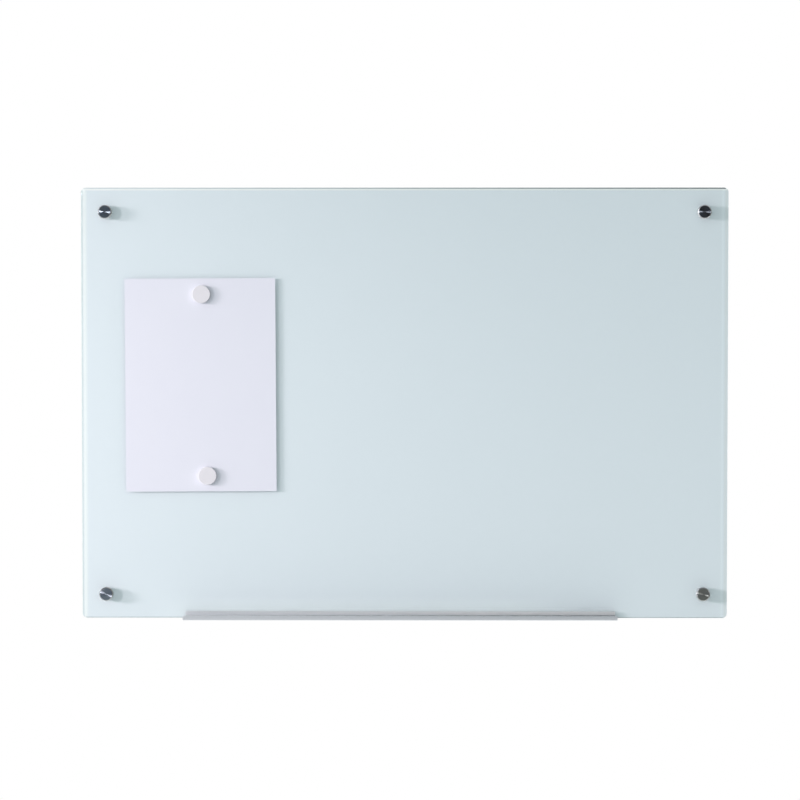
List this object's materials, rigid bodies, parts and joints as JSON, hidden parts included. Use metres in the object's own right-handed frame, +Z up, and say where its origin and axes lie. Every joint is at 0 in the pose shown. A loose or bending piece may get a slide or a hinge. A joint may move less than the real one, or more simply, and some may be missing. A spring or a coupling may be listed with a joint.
{
  "type": "glass whiteboard",
  "caption": "Wall-mounted glass writing board on standoffs with screw caps, with a slide-along pen tray, round magnets and a sheet of paper.",
  "frame": {"origin": "on the wall plane, at the centre of the four standoffs, which is also the centre of the glass seen from the front", "axes": "+X to the right and +Z up, as seen from the front; +Y into the wall, so the front looks along -Y"},
  "size_m": [0.9, 0.1114, 0.6025],
  "materials": {
    "glass": "clear toughened glass, polished edges",
    "white_backing": "matt cool white film seen through the glass",
    "sheet_steel": "dull galvanised sheet",
    "turned_steel": "fine turned stainless steel",
    "zinc_steel": "bright zinc plate",
    "clear_plastic": "clear moulded nylon",
    "grey_plastic": "grey moulded nylon",
    "satin_aluminium": "satin anodised extrusion",
    "soft_grip": "dark soft rubber",
    "paper": "plain white office paper",
    "white_shell": "white moulded plastic, soft sheen",
    "nickel": "nickel plate"
  },
  "bodies": {
    "board": {"glass_panel": "glass", "white_backing": "white_backing", "steel_sheet": "sheet_steel", "barrel_top_left": "turned_steel", "wall_screw_top_left": "zinc_steel", "wall_anchor_top_left": "grey_plastic", "rear_washer_top_left": "clear_plastic", "glass_sleeve_top_left": "clear_plastic", "barrel_top_right": "turned_steel", "wall_screw_top_right": "zinc_steel", "wall_anchor_top_right": "grey_plastic", "rear_washer_top_right": "clear_plastic", "glass_sleeve_top_right": "clear_plastic", "barrel_bottom_left": "turned_steel", "wall_screw_bottom_left": "zinc_steel", "wall_anchor_bottom_left": "grey_plastic", "rear_washer_bottom_left": "clear_plastic", "glass_sleeve_bottom_left": "clear_plastic", "barrel_bottom_right": "turned_steel", "wall_screw_bottom_right": "zinc_steel", "wall_anchor_bottom_right": "grey_plastic", "rear_washer_bottom_right": "clear_plastic", "glass_sleeve_bottom_right": "clear_plastic"},
    "cap_washer_top_left": {"front_washer_top_left": "clear_plastic"},
    "cap_top_left": {"cap_top_left": "turned_steel"},
    "cap_washer_top_right": {"front_washer_top_right": "clear_plastic"},
    "cap_top_right": {"cap_top_right": "turned_steel"},
    "cap_washer_bottom_left": {"front_washer_bottom_left": "clear_plastic"},
    "cap_bottom_left": {"cap_bottom_left": "turned_steel"},
    "cap_washer_bottom_right": {"front_washer_bottom_right": "clear_plastic"},
    "cap_bottom_right": {"cap_bottom_right": "turned_steel"},
    "tray": {"pen_tray": "satin_aluminium", "tray_liner": "soft_grip"},
    "paper": {"paper_sheet": "paper"},
    "magnet_upper": {"magnet_upper_shell": "white_shell", "magnet_upper_yoke": "zinc_steel", "magnet_upper_disc": "nickel", "magnet_upper_pad": "soft_grip"},
    "magnet_lower": {"magnet_lower_shell": "white_shell", "magnet_lower_yoke": "zinc_steel", "magnet_lower_disc": "nickel", "magnet_lower_pad": "soft_grip"}
  },
  "joints": [
    {"name": "cap_top_left_draw", "type": "slide", "parent": "board", "child": "cap_washer_top_left", "axis": [0, -1, 0], "range_m": [0, 0.009]},
    {"name": "cap_top_left_turn", "type": "hinge", "parent": "cap_washer_top_left", "child": "cap_top_left", "pos_m": [-0.416, -0.0266, 0.266], "axis": [0, -1, 0], "range_deg": [0, 2160]},
    {"name": "cap_top_right_draw", "type": "slide", "parent": "board", "child": "cap_washer_top_right", "axis": [0, -1, 0], "range_m": [0, 0.009]},
    {"name": "cap_top_right_turn", "type": "hinge", "parent": "cap_washer_top_right", "child": "cap_top_right", "pos_m": [0.416, -0.0266, 0.266], "axis": [0, -1, 0], "range_deg": [0, 2160]},
    {"name": "cap_bottom_left_draw", "type": "slide", "parent": "board", "child": "cap_washer_bottom_left", "axis": [0, -1, 0], "range_m": [0, 0.009]},
    {"name": "cap_bottom_left_turn", "type": "hinge", "parent": "cap_washer_bottom_left", "child": "cap_bottom_left", "pos_m": [-0.416, -0.0266, -0.266], "axis": [0, -1, 0], "range_deg": [0, 2160]},
    {"name": "cap_bottom_right_draw", "type": "slide", "parent": "board", "child": "cap_washer_bottom_right", "axis": [0, -1, 0], "range_m": [0, 0.009]},
    {"name": "cap_bottom_right_turn", "type": "hinge", "parent": "cap_washer_bottom_right", "child": "cap_bottom_right", "pos_m": [0.416, -0.0266, -0.266], "axis": [0, -1, 0], "range_deg": [0, 2160]},
    {"name": "tray_slide", "type": "slide", "parent": "board", "child": "tray", "axis": [1, 0, 0], "range_m": [-0.144, 0.156]},
    {"name": "paper_lift_off", "type": "slide", "parent": "board", "child": "paper", "axis": [0, -1, 0], "range_m": [0, 0.08]},
    {"name": "magnet_upper_pull_off", "type": "slide", "parent": "paper", "child": "magnet_upper", "axis": [0, -1, 0], "range_m": [0, 0.05]},
    {"name": "magnet_lower_pull_off", "type": "slide", "parent": "paper", "child": "magnet_lower", "axis": [0, -1, 0], "range_m": [0, 0.05]}
  ],
  "couplings": [
    {"joint": "cap_top_left_turn", "follows": "cap_top_left_draw", "rad_per_m": 4188.8},
    {"joint": "cap_top_right_turn", "follows": "cap_top_right_draw", "rad_per_m": 4188.8},
    {"joint": "cap_bottom_left_turn", "follows": "cap_bottom_left_draw", "rad_per_m": 4188.8},
    {"joint": "cap_bottom_right_turn", "follows": "cap_bottom_right_draw", "rad_per_m": 4188.8}
  ]
}
